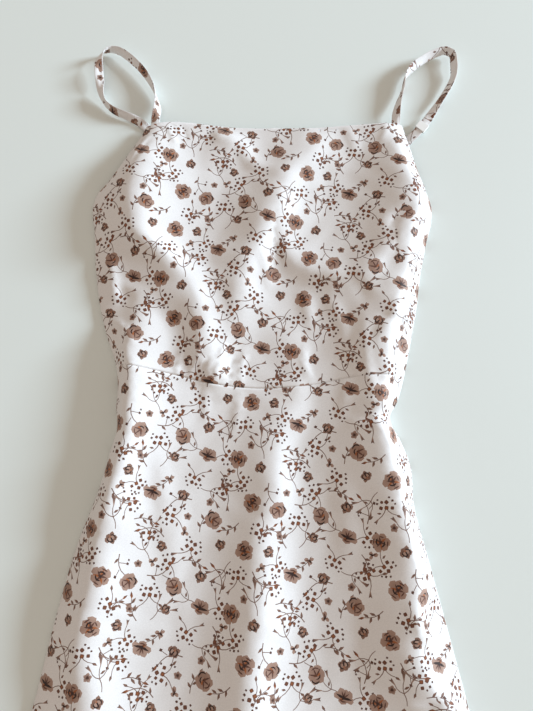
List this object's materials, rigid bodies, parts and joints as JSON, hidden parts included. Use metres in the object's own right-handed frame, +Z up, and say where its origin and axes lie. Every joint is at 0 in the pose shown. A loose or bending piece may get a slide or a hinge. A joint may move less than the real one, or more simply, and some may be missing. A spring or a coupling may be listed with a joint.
{
  "type": "slip dress",
  "caption": "Sleeveless slip dress with a square neckline, thin shoulder straps and a flared skirt, laid flat on its back in soft folds.",
  "frame": {"origin": "under the middle of the dress's box, on the surface that it lies on", "axes": "+Y from the hem to the neckline, +Z up from the surface, +X to the right of someone who looks down at the front with the neckline at the top"},
  "size_m": [0.5976, 1.1478, 0.0335],
  "materials": {
    "printed_cloth": "smooth matte woven cloth, white with a small taupe and brown flower print",
    "strap_cloth": "the same cloth, folded and stitched along its edge",
    "slider_plastic": "smooth white moulded plastic"
  },
  "bodies": {
    "root": {"bodice_front": "printed_cloth", "bodice_back": "printed_cloth", "skirt_front": "printed_cloth", "skirt_back": "printed_cloth", "strap_left": "strap_cloth", "strap_right": "strap_cloth", "strap_slider": "slider_plastic"}
  },
  "joints": []
}
